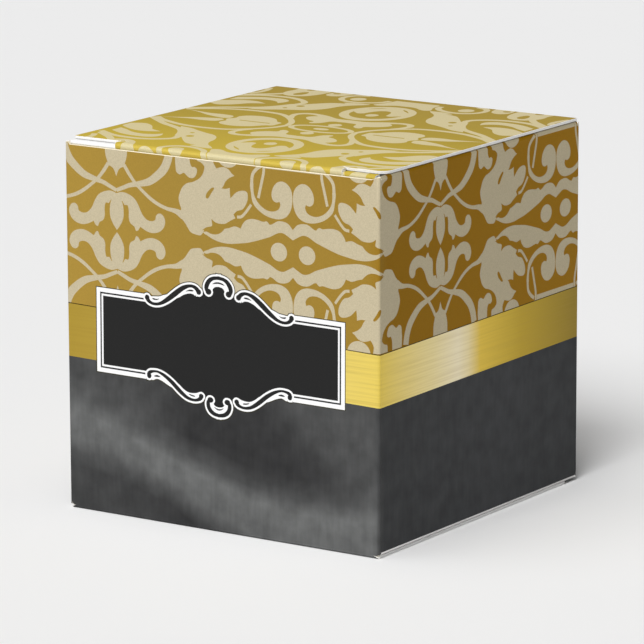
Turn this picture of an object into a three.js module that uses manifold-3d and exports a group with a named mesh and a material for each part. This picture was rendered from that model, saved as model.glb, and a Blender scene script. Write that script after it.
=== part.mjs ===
// Folded paperboard favour box: a printed cube with a slit-locked tuck closure at each end.
// Millimetres, +Z up. The origin is the centre of the underside; the front wall faces -Y, the right wall +X.
import * as THREE from 'three';
import { mergeVertices } from 'three/addons/utils/BufferGeometryUtils.js';
import Module from 'manifold-3d';

const wasm = await Module();
wasm.setup();

const degrees = THREE.MathUtils.degToRad;

// Box: outside width and depth, and the walls' height without the lid and bottom boards
const boxWidth = 50.8;
const boxDepth = 50.8;
const wallHeight = 50.8;

// Board
const board = 0.4;
const foldGap = 0.05;
const layerGap = 0.05;

// Walls
const wallMouthDrop = 0.25;
const wallCornerRadius = 0.5;

// Lid and bottom panels
const lidSideInset = 0.25;
const lidHingeCornerRadius = 0.8;
const lidFrontCornerRadius = 1.6;

// Slit lock at each end of a tuck crease
const slitLength = 5.9;
const slitDepth = 0.9;
const slitWidth = 0.2;
const slitClearance = 0.15;
const hookDepth = 0.9;
const hookReach = 1.5;
const hookRadius = 0.8;

// Tuck flaps
const tuckLength = 12.7;
const tuckSlack = 0.1;
const tuckSideClearance = 0.7;
const tuckCornerRadius = 6;
const tuckSpringBack = degrees(1.5);

// Dust flaps
const dustLength = 20;
const dustTuckClearance = 0.4;
const dustHingeInset = 2.3;
const dustTuckTaper = degrees(12);
const dustHingeTaper = degrees(4);
const dustCornerRadius = 3;
const dustSwing = degrees(80);
const notchClearance = 0.3;
const notchSlant = 0.8;

// Glued seam
const seamInset = 0.2;
const glueFlapWidth = 11;
const glueFlapTaper = degrees(15);
const glueFlapClearance = 0.25;
const glueCornerRadius = 1;
const glueFilm = 0.1;
const glueFilmInset = 1.5;

// Worked out from the sizes above
const quarter = Math.PI / 2;
const boxHeight = wallHeight + 2 * board;
const midHeight = boxHeight / 2;
const innerHalfWidth = boxWidth / 2 - board;
const innerHalfDepth = boxDepth / 2 - board;
const lidCreaseLevel = boxHeight - board;
const dustCreaseLevel = lidCreaseLevel - layerGap - board;
const lidHalfWidth = boxWidth / 2 - lidSideInset;
const slitStart = lidHalfWidth - slitLength;
const tuckHalfWidth = innerHalfWidth - tuckSideClearance;
const tuckCreaseY = board + tuckSlack - innerHalfDepth;
const lidLength = innerHalfDepth - tuckCreaseY - foldGap;

// A tuck flap leans into the box far enough for its free edge to pass the wall as the lid swings open.
const tuckSwingRadius = innerHalfDepth + board - tuckCreaseY;
const tuckLean = Math.asin((tuckLength + 2 * board) / (2 * tuckSwingRadius)) + tuckSpringBack;
const tuckTurn = quarter + tuckLean;

// Each dust flap stays behind the leaning tuck flap on one side and clear of the lid's crease on the other.
const dustTuckEdge = -tuckCreaseY - tuckLength * Math.sin(tuckLean) - dustTuckClearance;
const dustHingeEdge = innerHalfDepth - dustHingeInset;

// The glue flap ends where a dust flap that is pushed in has swung clear of it.
const glueEndInset = (glueFilm + board + glueFlapClearance) / Math.tan(quarter - dustSwing);
const glueFlapHalf = dustCreaseLevel - midHeight - glueEndInset;

// Facets in each round stretch
const roundSteps = 6;

// A three.js geometry as a solid that can be cut and joined.
function solidFrom(geometry) {
  geometry.deleteAttribute('normal');
  geometry.deleteAttribute('uv');
  const merged = mergeVertices(geometry);
  return new wasm.Manifold(new wasm.Mesh({
    numProp: 3,
    vertProperties: new Float32Array(merged.attributes.position.array),
    triVerts: new Uint32Array(merged.index.array),
  }));
}

// A solid back as a flat-shaded three.js geometry.
function geometryFrom(solid) {
  const cut = solid.getMesh();
  const indexed = new THREE.BufferGeometry();
  indexed.setAttribute('position', new THREE.BufferAttribute(cut.vertProperties, 3));
  indexed.setIndex(new THREE.BufferAttribute(cut.triVerts, 1));
  const geometry = indexed.toNonIndexed();
  geometry.computeVertexNormals();
  return geometry;
}

// Every panel is drawn flat, in board coordinates: u runs from its crease into the panel, v out of its
// printed side and w along the crease. The crease axis, u = v = 0, is the fold's inner corner.

// Section of a panel across its crease. The fold is a sector of the board round the crease axis.
function panelSection(length, turn) {
  const section = new THREE.Shape();
  section.moveTo(0, 0);
  section.lineTo(length, 0);
  section.lineTo(length, board);
  section.lineTo(0, board);
  if (turn > 0) section.absarc(0, 0, board, quarter, quarter + turn, false);
  section.closePath();
  return section;
}

// A section in u and v, swept along the crease between two values of w.
function sweepAlongCrease(section, from, to) {
  const swept = new THREE.ExtrudeGeometry(section, {
    depth: to - from,
    bevelEnabled: false,
    curveSegments: roundSteps,
  });
  swept.translate(0, 0, from);
  return solidFrom(swept);
}

// The die: an outline in u and w, pressed through the board.
function dieFrom(outline) {
  const dieDepth = 6 * board;
  const die = new THREE.ExtrudeGeometry(outline, {
    depth: dieDepth,
    bevelEnabled: false,
    curveSegments: roundSteps,
  });
  die.translate(0, 0, -dieDepth / 2);
  die.rotateX(quarter);
  return solidFrom(die);
}

// A panel with a fold at its crease, die-cut to its outline.
function dieCutPanel(length, turn, halfSpan, outline) {
  const blank = sweepAlongCrease(panelSection(length, turn), -halfSpan, halfSpan);
  return blank.intersect(dieFrom(outline));
}

// A closed outline through corners [u, w, radius], each rounded by its radius.
function roundedOutline(corners) {
  const outline = new THREE.Shape();
  const count = corners.length;
  corners.forEach(([u, w, radius], index) => {
    const corner = new THREE.Vector2(u, w);
    const toPrevious = new THREE.Vector2(...corners[(index + count - 1) % count]).sub(corner);
    const toNext = new THREE.Vector2(...corners[(index + 1) % count]).sub(corner);
    const room = 0.5 * Math.min(toPrevious.length(), toNext.length());
    const setback = Math.min(radius, room);
    const start = corner.clone().addScaledVector(toPrevious.normalize(), setback);
    const end = corner.clone().addScaledVector(toNext.normalize(), setback);
    if (index === 0) outline.moveTo(start.x, start.y);
    else outline.lineTo(start.x, start.y);
    if (setback > 0) outline.quadraticCurveTo(u, w, end.x, end.y);
  });
  outline.closePath();
  return outline;
}

// Corners on one side of the crease's middle, with the same corners mirrored to its other side.
function bothSides(corners) {
  const mirrored = corners.map(([u, w, radius]) => [u, -w, radius]).reverse();
  return [...corners, ...mirrored];
}

// Lid or bottom panel. Outside each slit its front edge is cut back, and the slit ends in a small hook.
function lidPanel() {
  const cutBack = lidLength - slitDepth;
  const hookTip = cutBack - hookDepth;
  const outline = roundedOutline(bothSides([
    [lidLength, slitStart, 0],
    [cutBack + slitWidth, slitStart, hookRadius],
    [hookTip, slitStart - hookReach, 0],
    [hookTip, slitStart - hookReach + slitWidth, 0],
    [cutBack, slitStart, hookRadius],
    [cutBack, lidHalfWidth, lidFrontCornerRadius],
    [-board, lidHalfWidth, lidHingeCornerRadius],
  ]));
  return dieCutPanel(lidLength, quarter, lidHalfWidth, outline);
}

// Section of the tuck flap outside a slit: its fold sits one board lower, and a shoulder runs back from it.
function shoulderSection(foldDepth) {
  const shoulder = new THREE.Vector2(slitDepth - slitClearance, 0).rotateAround(new THREE.Vector2(), Math.PI + tuckTurn);
  const outward = new THREE.Vector2(board, 0).rotateAround(new THREE.Vector2(), quarter + tuckTurn);
  const section = new THREE.Shape();
  section.moveTo(foldDepth, 0);
  section.lineTo(foldDepth + board, 0);
  section.lineTo(foldDepth + board, board);
  section.lineTo(foldDepth, board);
  section.absarc(foldDepth, 0, board, quarter, quarter + tuckTurn, false);
  section.lineTo(foldDepth + shoulder.x + outward.x, shoulder.y + outward.y);
  section.lineTo(foldDepth + shoulder.x, shoulder.y);
  section.closePath();
  return section;
}

// Tuck flap, with round free corners and a shoulder beyond each slit.
function tuckFlap() {
  const foldDepth = (board + layerGap) / Math.cos(tuckLean);
  const outline = roundedOutline(bothSides([
    [-board, slitStart, 0],
    [foldDepth, slitStart, 0],
    [foldDepth, tuckHalfWidth, 0],
    [tuckLength, tuckHalfWidth, tuckCornerRadius],
  ]));
  const section = shoulderSection(foldDepth);
  return dieCutPanel(tuckLength, tuckTurn, tuckHalfWidth, outline)
    .add(sweepAlongCrease(section, slitStart, tuckHalfWidth))
    .add(sweepAlongCrease(section, -tuckHalfWidth, -slitStart));
}

// Dust flap. tuckSide is the sign of w on the side where the tuck flap hangs.
function dustFlap(tuckSide) {
  const tuckSideEnd = dustTuckEdge - dustLength * Math.tan(dustTuckTaper);
  const hingeSideEnd = dustHingeEdge - dustLength * Math.tan(dustHingeTaper);
  const outline = roundedOutline([
    [-board, tuckSide * dustTuckEdge, 0],
    [0, tuckSide * dustTuckEdge, 0],
    [dustLength, tuckSide * tuckSideEnd, dustCornerRadius],
    [dustLength, -tuckSide * hingeSideEnd, dustCornerRadius],
    [0, -tuckSide * dustHingeEdge, 0],
    [-board, -tuckSide * dustHingeEdge, 0],
  ]);
  return dieCutPanel(dustLength, quarter, innerHalfDepth, outline);
}

// Front or back wall. w is height from the middle; its two ends are given apart.
function plainWall(length, turn, low, high) {
  const outline = roundedOutline([
    [-board, low, 0],
    [length, low, wallCornerRadius],
    [length, high, wallCornerRadius],
    [-board, high, wallCornerRadius],
  ]);
  return dieCutPanel(length, turn, midHeight, outline);
}

// Side wall, lowered at each end where a dust flap folds off it. A notch is [from, to] in u.
function notchedWall(length, upperNotch, lowerNotch) {
  const horn = midHeight - board - wallMouthDrop;
  const crease = dustCreaseLevel - foldGap - midHeight;
  const notchCorners = ([from, to], side) => [
    [from - notchSlant, side * horn, 0],
    [from, side * crease, 0],
    [to, side * crease, 0],
    [to + notchSlant, side * horn, 0],
  ];
  const outline = roundedOutline([
    [-board, -horn, 0],
    ...notchCorners(lowerNotch, -1),
    [length, -horn, 0],
    [length, horn, 0],
    ...notchCorners(upperNotch, 1).reverse(),
    [-board, horn, 0],
  ]);
  return dieCutPanel(length, quarter, midHeight, outline);
}

// Glue flap. Its crease is nearly as high as the wall, and its ends step back and taper past the dust flaps.
function glueFlap() {
  const creaseEnd = midHeight - board - wallMouthDrop - foldGap;
  const stepEnd = innerHalfDepth - dustHingeEdge - notchClearance;
  const outline = roundedOutline(bothSides([
    [glueFlapWidth, glueFlapHalf - glueFlapWidth * Math.tan(glueFlapTaper), glueCornerRadius],
    [stepEnd, glueFlapHalf, 0],
    [stepEnd / 2, creaseEnd, 0],
    [-board, creaseEnd, 0],
  ]));
  return dieCutPanel(glueFlapWidth, quarter, midHeight, outline);
}

// Adhesive between the glue flap and the left wall.
function glueLine() {
  const width = glueFlapWidth - 2 * glueFilmInset;
  const height = 2 * (glueFlapHalf - glueFlapWidth * Math.tan(glueFlapTaper) - glueFilmInset);
  return solidFrom(new THREE.BoxGeometry(width, glueFilm, height));
}

function vec(x, y, z) {
  return new THREE.Vector3(x, y, z);
}

// A named mesh whose crease runs through origin, with its u and v turned to the given directions.
function placed(name, solid, look, origin, uDirection, vDirection) {
  const mesh = new THREE.Mesh(geometryFrom(solid), new THREE.MeshStandardMaterial(look));
  mesh.name = name;
  const wDirection = vec(0, 0, 0).crossVectors(uDirection, vDirection);
  mesh.setRotationFromMatrix(new THREE.Matrix4().makeBasis(uDirection, vDirection, wDirection));
  mesh.position.copy(origin);
  return mesh;
}

// Looks
const goldPrint = { color: 0xb09238, roughness: 0.55, metalness: 0 };
const blackPrint = { color: 0x3a3b3c, roughness: 0.5, metalness: 0 };
const bareBoard = { color: 0xf1efe9, roughness: 0.8, metalness: 0 };
const clearGlue = { color: 0xe9e4d2, roughness: 0.4, metalness: 0 };

// One closure at the top: a lid hinged on the back wall, its tuck flap and two dust flaps.
function closure(names, print) {
  const group = new THREE.Group();
  const up = vec(0, 0, 1);
  const lidCrease = vec(0, innerHalfDepth, lidCreaseLevel);
  const tuckCrease = vec(0, tuckCreaseY, lidCreaseLevel);
  const tuckDown = vec(0, Math.sin(tuckLean), -Math.cos(tuckLean));
  const tuckOut = vec(0, -Math.cos(tuckLean), -Math.sin(tuckLean));
  group.add(placed(names.lid, lidPanel(), print, lidCrease, vec(0, -1, 0), up));
  group.add(placed(names.tuck, tuckFlap(), print, tuckCrease, tuckDown, tuckOut));
  for (const side of [-1, 1]) {
    const dustCrease = vec(side * innerHalfWidth, 0, dustCreaseLevel);
    const name = side < 0 ? names.leftDust : names.rightDust;
    group.add(placed(name, dustFlap(-side), bareBoard, dustCrease, vec(-side, 0, 0), up));
  }
  return group;
}

// The four walls, each folded from the next at its upright crease, and the seam at the back left corner.
function walls() {
  const group = new THREE.Group();
  const widthOfWall = 2 * innerHalfWidth - foldGap;
  const depthOfWall = 2 * innerHalfDepth - foldGap;
  const foldedEdge = midHeight - board - foldGap;
  const freeEdge = midHeight - board - wallMouthDrop;

  const frontWall = plainWall(widthOfWall, quarter, -foldedEdge, freeEdge);
  const frontCrease = vec(innerHalfWidth, -innerHalfDepth, midHeight);
  group.add(placed('front_wall', frontWall, goldPrint, frontCrease, vec(-1, 0, 0), vec(0, -1, 0)));

  // The back wall has no fold of its own: it starts at the glue flap's fold.
  const seamX = -innerHalfWidth + glueFilm + board;
  const backWall = plainWall(innerHalfWidth - seamX - 2 * foldGap, 0, -freeEdge, foldedEdge);
  const backStart = vec(seamX + foldGap, innerHalfDepth, midHeight);
  group.add(placed('back_wall', backWall, goldPrint, backStart, vec(1, 0, 0), vec(0, 1, 0)));

  // Along a side wall, a notch ends where the dust flap does. The right wall runs forwards, the left one back.
  const tuckEnd = dustTuckEdge + notchClearance;
  const hingeEnd = dustHingeEdge + notchClearance;
  const hingeFirst = [innerHalfDepth - hingeEnd, innerHalfDepth + tuckEnd];
  const tuckFirst = [innerHalfDepth - tuckEnd, innerHalfDepth + hingeEnd];

  const rightWall = notchedWall(depthOfWall, hingeFirst, tuckFirst);
  const rightCrease = vec(innerHalfWidth, innerHalfDepth, midHeight);
  group.add(placed('right_wall', rightWall, goldPrint, rightCrease, vec(0, -1, 0), vec(1, 0, 0)));

  const leftWall = notchedWall(2 * innerHalfDepth + board - seamInset, tuckFirst, hingeFirst);
  const leftCrease = vec(-innerHalfWidth, -innerHalfDepth, midHeight);
  group.add(placed('left_wall', leftWall, goldPrint, leftCrease, vec(0, 1, 0), vec(-1, 0, 0)));

  const glueCrease = vec(seamX, innerHalfDepth, midHeight);
  group.add(placed('glue_flap', glueFlap(), bareBoard, glueCrease, vec(0, -1, 0), vec(-1, 0, 0)));

  const glueCentre = vec(-innerHalfWidth + glueFilm / 2, innerHalfDepth - glueFlapWidth / 2, midHeight);
  group.add(placed('glue_line', glueLine(), clearGlue, glueCentre, vec(0, -1, 0), vec(-1, 0, 0)));
  return group;
}

const box = new THREE.Group();
box.name = 'favour_box';
box.add(walls());

box.add(closure({
  lid: 'lid_panel',
  tuck: 'lid_tuck_flap',
  leftDust: 'top_left_dust_flap',
  rightDust: 'top_right_dust_flap',
}, goldPrint));

// The bottom closure is the top one turned over, so its panel hangs on the front wall.
const bottomClosure = closure({
  lid: 'bottom_panel',
  tuck: 'bottom_tuck_flap',
  leftDust: 'bottom_left_dust_flap',
  rightDust: 'bottom_right_dust_flap',
}, blackPrint);
bottomClosure.rotation.x = Math.PI;
bottomClosure.position.z = boxHeight;
box.add(bottomClosure);

export default box;
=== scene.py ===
"""Looks of a folded paperboard favour box: gold damask above a gold band, black satin below, a scrolled label.

Every panel is a sheet of printed board. Its print is drawn flat, in millimetres, as closed outlines laid over
each other. The sheet is cut along them, wears one ink in each cut, and is then folded into its place.
"""

import math

import bmesh
import bpy
import numpy as np
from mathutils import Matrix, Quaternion, Vector
from mathutils.geometry import delaunay_2d_cdt


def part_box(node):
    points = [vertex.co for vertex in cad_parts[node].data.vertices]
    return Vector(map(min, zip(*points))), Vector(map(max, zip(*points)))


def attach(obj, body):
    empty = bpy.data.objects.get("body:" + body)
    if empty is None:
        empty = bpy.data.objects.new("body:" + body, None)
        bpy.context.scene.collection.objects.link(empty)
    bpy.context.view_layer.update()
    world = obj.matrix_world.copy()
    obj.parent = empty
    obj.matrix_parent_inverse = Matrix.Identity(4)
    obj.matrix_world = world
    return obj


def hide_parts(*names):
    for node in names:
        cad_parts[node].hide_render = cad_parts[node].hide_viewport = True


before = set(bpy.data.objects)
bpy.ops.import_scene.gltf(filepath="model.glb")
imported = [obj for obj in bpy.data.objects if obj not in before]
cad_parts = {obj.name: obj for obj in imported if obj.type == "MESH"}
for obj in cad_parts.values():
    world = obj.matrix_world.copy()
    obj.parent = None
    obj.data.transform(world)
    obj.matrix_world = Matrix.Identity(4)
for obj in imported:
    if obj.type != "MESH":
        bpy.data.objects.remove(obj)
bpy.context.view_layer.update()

MM = 0.001
QUARTER = math.pi / 2
X_AXIS = Vector((1, 0, 0))
Y_AXIS = Vector((0, 1, 0))
Z_AXIS = Vector((0, 0, 1))


def node_box(name):
    """Lowest and highest corner of a CAD node, in millimetres."""
    low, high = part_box(name)
    return low / MM, high / MM


# Sizes read from the frame
LID_HIGH = node_box("lid_panel")[1]
FRONT_HIGH = node_box("front_wall")[1]
RIGHT_HIGH = node_box("right_wall")[1]
LEFT_HIGH = node_box("left_wall")[1]
DUST_LOW, DUST_HIGH = node_box("top_right_dust_flap")
GLUE_LOW, GLUE_HIGH = node_box("glue_flap")
BOARD = node_box("bottom_panel")[1].z
HEIGHT = LID_HIGH.z
HALF = RIGHT_HIGH.x
WIDTH = 2 * HALF
INNER = HALF - BOARD
MID = HEIGHT / 2
LID_CREASE = HEIGHT - BOARD
DUST_CREASE = DUST_HIGH.z - BOARD

# The die's shapes at the slit lock, the tuck flap and the dust flaps
LID_HALF_WIDTH = LID_HIGH.x
LID_HINGE_CORNER = 0.8
LID_FRONT_CORNER = 1.6
LID_LEFT_CORNER = 0.3
SLIT_START = LID_HALF_WIDTH - 5.9
LEFT_SLIT_START = LID_HALF_WIDTH - 7.8
SLIT_DEPTH = 0.9
SLIT_WIDTH = 0.2
HOOK_DEPTH = 0.5
HOOK_REACH = 1
HOOK_WIDTH = 0.03
HOOK_RADIUS = 0.8
SHOULDER_LENGTH = SLIT_DEPTH - 0.15
SHOULDER_HALF_WIDTH = 24.4
SHOULDER_STEP = 0.8
SLIT_CUT = 0.01
TUCK_CREASE_Y = 0.5 - INNER
TUCK_HALF_WIDTH = INNER - 0.7
TUCK_LENGTH = 12.7
TUCK_CORNER = 6
TUCK_LEAN = math.asin((TUCK_LENGTH + 2 * BOARD) / (2 * (HALF - TUCK_CREASE_Y))) + math.radians(1.5)
LAYER_GAP = 0.005
TUCK_HIDDEN = math.radians(62)
DUST_HIDDEN = math.radians(82)
SHOULDER_DROP = (BOARD + LAYER_GAP) / math.cos(TUCK_LEAN)
DUST_LENGTH = 20
DUST_CORNER = 3
DUST_FOLD_HALF = INNER - 0.1
DUST_FOLD_END = 0.1
DUST_TUCK_EDGE = -DUST_LOW.y
DUST_HINGE_EDGE = DUST_HIGH.y
DUST_TUCK_END = DUST_TUCK_EDGE - DUST_LENGTH * math.tan(math.radians(12))
DUST_HINGE_END = DUST_HINGE_EDGE - DUST_LENGTH * math.tan(math.radians(4))
NOTCH_CLEARANCE = 0.3
WALL_CORNER = 0.5
FOLD_GAP = 0.05
GLUE_CREASE_X = GLUE_LOW.x + BOARD
GLUE_WIDTH = 11
GLUE_STEP = INNER - DUST_HINGE_EDGE - NOTCH_CLEARANCE
GLUE_HALF = 20.7
GLUE_END = GLUE_HALF - GLUE_WIDTH * math.tan(math.radians(15))
GLUE_CORNER = 1
GLUE_BLEED = 2.4
DUST_BLEED = 1.5

# Finish of the sheets
INNER_FOLD_RADIUS = 0.01
EDGE_CHAMFER = 0.03
FOLD_STEPS = 6
CURVE_STEP = 0.3
NEARLY_STRAIGHT = 0.2
CUT_TOLERANCE = 1e-5
SMALLEST_CUT = 1e-9
PRINT_MARGIN = 0.5
WELD = 2e-8


# Curves and outlines, as arrays of points in millimetres

def corner(x, y):
    """A point where an outline turns sharply."""
    return (x, y, True)


def spline(knots, closed):
    """Points on a smooth curve through knots, without its last point."""
    knots = np.asarray(knots, float)
    count = len(knots)
    if closed:
        before, after = knots[-1], [knots[0], knots[1]]
        last = count
    else:
        before, after = 2 * knots[0] - knots[1], [2 * knots[-1] - knots[-2]]
        last = count - 1
    line = np.vstack([before, knots, *after])
    pace = np.maximum(np.linalg.norm(np.diff(line[:, :2], axis=0), axis=1), 1e-6) ** 0.5
    samples = []
    for i in range(1, last + 1):
        p0, p1, p2, p3 = line[i - 1:i + 3]
        a, b, c = pace[i - 1:i + 2]
        start = ((p1 - p0) / a - (p2 - p0) / (a + b) + (p2 - p1) / b) * b
        end = ((p2 - p1) / b - (p3 - p1) / (b + c) + (p3 - p2) / c) * b
        steps = max(2, math.ceil(np.linalg.norm((p2 - p1)[:2]) / CURVE_STEP))
        for t in np.arange(steps) / steps:
            samples.append(
                (2 * t**3 - 3 * t**2 + 1) * p1 + (t**3 - 2 * t**2 + t) * start
                + (3 * t**2 - 2 * t**3) * p2 + (t**3 - t**2) * end)
    return samples


def outline(*points):
    """A closed outline through points, smooth except at its corners."""
    sharp = [i for i, p in enumerate(points) if len(p) == 3]
    if not sharp:
        return np.array(spline(points, closed=True))
    points = points[sharp[0]:] + points[:sharp[0]] + (points[sharp[0]],)
    sharp = [i for i, p in enumerate(points) if len(p) == 3]
    samples = []
    for start, end in zip(sharp, sharp[1:]):
        piece = [p[:2] for p in points[start:end + 1]]
        samples += spline(piece, closed=False) if len(piece) > 2 else [np.array(piece[0], float)]
    return np.array(samples)


def stem(*knots):
    """A band along a smooth line. Each knot is x, y and the band's width there."""
    line = np.array(spline(knots, closed=False) + [np.array(knots[-1], float)])
    run = np.gradient(line[:, :2], axis=0)
    side = np.column_stack([-run[:, 1], run[:, 0]]) / np.linalg.norm(run, axis=1)[:, None]
    half = side * line[:, 2:3] / 2
    return np.vstack([line[:, :2] + half, (line[:, :2] - half)[::-1]])


def strand(width, *points):
    """A stem of one width."""
    return stem(*[(x, y, width) for x, y in points])


def ellipse(x, y, radius_x, radius_y):
    steps = max(12, math.ceil(2 * math.pi * max(radius_x, radius_y) / CURVE_STEP))
    angles = np.arange(steps) * 2 * math.pi / steps
    return np.column_stack([x + radius_x * np.cos(angles), y + radius_y * np.sin(angles)])


def polygon(*points):
    return np.array(points, float)


def rounded(*corners):
    """The die's outline through corners x, y and radius, each radius as a quadratic curve."""
    samples = []
    count = len(corners)
    for i, (x, y, radius) in enumerate(corners):
        here = np.array((x, y), float)
        ways = [np.array(corners[(i + turn) % count][:2], float) - here for turn in (-1, 1)]
        lengths = [np.linalg.norm(way) for way in ways]
        setback = min(radius, min(lengths) / 2)
        if setback == 0:
            samples.append(here)
            continue
        start, end = (here + way / length * setback for way, length in zip(ways, lengths))
        for t in np.arange(FOLD_STEPS + 1) / FOLD_STEPS:
            samples.append((1 - t)**2 * start + 2 * t * (1 - t) * here + t**2 * end)
    return np.array(samples)


def both_sides(right, left=None):
    """An outline through corners on one side of a crease's middle and their mirror images on its other side,
    or through the corners given for that side."""
    return rounded(*(left or right), *[(x, -y, radius) for x, y, radius in reversed(right)])


def anticlockwise(points):
    x, y = points[:, 0], points[:, 1]
    return points if np.sum(x * np.roll(y, -1) - np.roll(x, -1) * y) > 0 else points[::-1]


def moved_out(points, distance, flush=()):
    """An anticlockwise outline moved out by distance, except its edges on the lines in flush, each of them an
    axis and the value there."""
    edges = np.roll(points, -1, axis=0) - points
    normals = np.column_stack([edges[:, 1], -edges[:, 0]])
    normals /= np.maximum(np.linalg.norm(normals, axis=1), 1e-12)[:, None]
    middles = points + edges / 2
    shifts = np.full(len(points), distance, float)
    for axis, value in flush:
        shifts[np.abs(middles[:, axis] - value) < EDGE_CHAMFER / 2] = 0
    moved = points.copy()
    for i in range(len(points)):
        n0, n1 = normals[i - 1], normals[i]
        d0, d1 = shifts[i - 1], shifts[i]
        cross = n0[0] * n1[1] - n0[1] * n1[0]
        if abs(cross) < NEARLY_STRAIGHT:
            moved[i] += (n0 * d0 + n1 * d1) / 2
        else:
            moved[i] += np.array([d0 * n1[1] - d1 * n0[1], d1 * n0[0] - d0 * n1[0]]) / cross
    return moved


def inside(points, shape):
    """True for each of the points that lies in the closed outline."""
    found = np.zeros(len(points), bool)
    low, high = shape.min(0), shape.max(0)
    near = np.flatnonzero(np.all((points >= low) & (points <= high), axis=1))
    if not len(near):
        return found
    x, y = points[near, 0][:, None], points[near, 1][:, None]
    x0, y0 = shape[:, 0], shape[:, 1]
    x1, y1 = np.roll(x0, -1), np.roll(y0, -1)
    spans = (y0 > y) != (y1 > y)
    rise = np.where(y1 == y0, 1, y1 - y0)
    crossed = spans & (x < x0 + (x1 - x0) * (y - y0) / rise)
    found[near] = crossed.sum(1) % 2 == 1
    return found


# Sheets of board

class Panel:
    """A flat panel of board with a fold at its crease. s runs from the crease into the panel and w along it.
    The fold takes s from 0 down to -fold, and past it the sheet is flat again. Where w isn't between the two
    ends of high, the crease lies drop further into the panel. Elsewhere the fold runs on by the angle hidden,
    inside the next panel's board, so that no gap opens when its joint turns."""

    def __init__(self, crease, into, out, turn=QUARTER, drop=0, high=(0, 0), hidden=0):
        self.crease = Vector(crease)
        self.into = Vector(into)
        self.out = Vector(out)
        self.along = self.into.cross(self.out)
        self.turn = turn
        self.fold = BOARD * turn
        self.root = BOARD * (turn + hidden)
        self.drop = drop
        self.high = high

    def lowered(self, w):
        return 0 if self.high[0] < w < self.high[1] else self.drop

    def fold_end(self, w):
        return self.fold if self.lowered(w) else self.root

    def point(self, s, w, depth):
        lowered = self.lowered(w)
        s -= lowered
        angle = min(max(-s, 0), self.fold_end(w)) / BOARD
        into = self.into * math.cos(angle) + self.out * math.sin(angle)
        out = self.out * math.cos(angle) - self.into * math.sin(angle)
        beyond = s if s > 0 else min(s + self.fold_end(w), 0)
        place = self.crease + self.into * lowered + self.along * w + out * (BOARD - depth) + into * beyond
        return place * MM

    def fold_lines(self):
        """Lines across the sheet where it bends, at FOLD_STEPS even turns."""
        if not self.turn:
            return []
        bends = [(lowered - self.fold, lowered) for lowered in {0, self.drop}]
        if self.root > self.fold:
            bends.append((-self.root, -self.fold))
        return [((s, -HALF - 1), (s, HALF + 1)) for bend in bends for s in np.linspace(*bend, FOLD_STEPS + 1)]


def cut_sheet(shapes, lines):
    """Triangles cut along closed shapes and open lines: their points, and their corners anticlockwise."""
    points = []
    edges = []
    for shape in shapes:
        first = len(points)
        points += [Vector(p) for p in shape]
        edges += [(first + i, first + (i + 1) % len(shape)) for i in range(len(shape))]
    for line in lines:
        edges.append((len(points), len(points) + 1))
        points += [Vector(p) for p in line]
    found = delaunay_2d_cdt(points, edges, [], 0, CUT_TOLERANCE)
    places = np.array([tuple(p) for p in found[0]])
    triangles = np.array(found[2])
    a, b, c = (places[triangles[:, i]] for i in range(3))
    turned = (b[:, 0] - a[:, 0]) * (c[:, 1] - a[:, 1]) - (b[:, 1] - a[:, 1]) * (c[:, 0] - a[:, 0])
    triangles[turned < 0] = triangles[turned < 0][:, ::-1]
    return places, triangles[np.abs(turned) > SMALLEST_CUT]


def rim_loops(triangles):
    """The closed runs of edges that only one triangle has, in the triangles' own direction."""
    edges = {(a, b) for t in triangles.tolist() for a, b in ((t[0], t[1]), (t[1], t[2]), (t[2], t[0]))}
    following = {a: b for a, b in sorted(edges) if (b, a) not in edges}
    loops = []
    while following:
        here = next(iter(following))
        loop = []
        while here in following:
            loop.append(here)
            here = following.pop(here)
        loops.append(loop)
    return loops


class Sheet:
    """The mesh of a folded sheet as it is made: its places and faces, and each face's ink and smoothness."""

    def __init__(self, panel, inks):
        self.panel = panel
        self.inks = inks
        self.places = []
        self.faces = []
        self.face_inks = []
        self.smooth = []

    def add_points(self, points, depth):
        first = len(self.places)
        self.places += [self.panel.point(s, w, depth) for s, w in points]
        return first

    def add_face(self, corners, ink, smooth=False):
        self.faces.append(corners)
        self.face_inks.append(self.inks.index(ink))
        self.smooth.append(smooth)

    def add_side(self, points, triangles, inks, depth, outside):
        """One face of the board. Anticlockwise corners in the sheet face the board's inside."""
        first = self.add_points(points, depth)
        middles = points[triangles].mean(1)
        for corners, (s, w), ink in zip(triangles.tolist(), middles, inks):
            s -= self.panel.lowered(w)
            corners = [first + i for i in corners]
            bent = bool(-self.panel.fold_end(w) < s < 0)
            self.add_face(corners[::-1] if outside else corners, ink, bent)

    def add_rim(self, inner, outer, ink):
        """The raw edge round the sheet: a small chamfer, the board's core and a chamfer again."""
        thickness = BOARD - INNER_FOLD_RADIUS
        rings = [
            self.add_points(inner, 0),
            self.add_points(outer, EDGE_CHAMFER),
            self.add_points(outer, thickness - INNER_FOLD_RADIUS),
            self.add_points(inner, thickness),
        ]
        count = len(inner)
        for upper, lower in zip(rings, rings[1:]):
            for i in range(count):
                j = (i + 1) % count
                self.add_face([upper + i, upper + j, lower + j, lower + i], ink)

    def piece(self, name):
        mesh = bpy.data.meshes.new(name)
        mesh.from_pydata(self.places, [], self.faces)
        mesh.polygons.foreach_set("material_index", self.face_inks)
        mesh.polygons.foreach_set("use_smooth", self.smooth)
        for ink in self.inks:
            mesh.materials.append(INKS[ink])
        welded = bmesh.new()
        welded.from_mesh(mesh)
        bmesh.ops.remove_doubles(welded, verts=welded.verts, dist=WELD)
        unused = [vertex for vertex in welded.verts if not vertex.link_faces]
        bmesh.ops.delete(welded, geom=unused, context="VERTS")
        welded.to_mesh(mesh)
        welded.free()
        piece = bpy.data.objects.new(name, mesh)
        bpy.context.scene.collection.objects.link(piece)
        return piece


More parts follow.
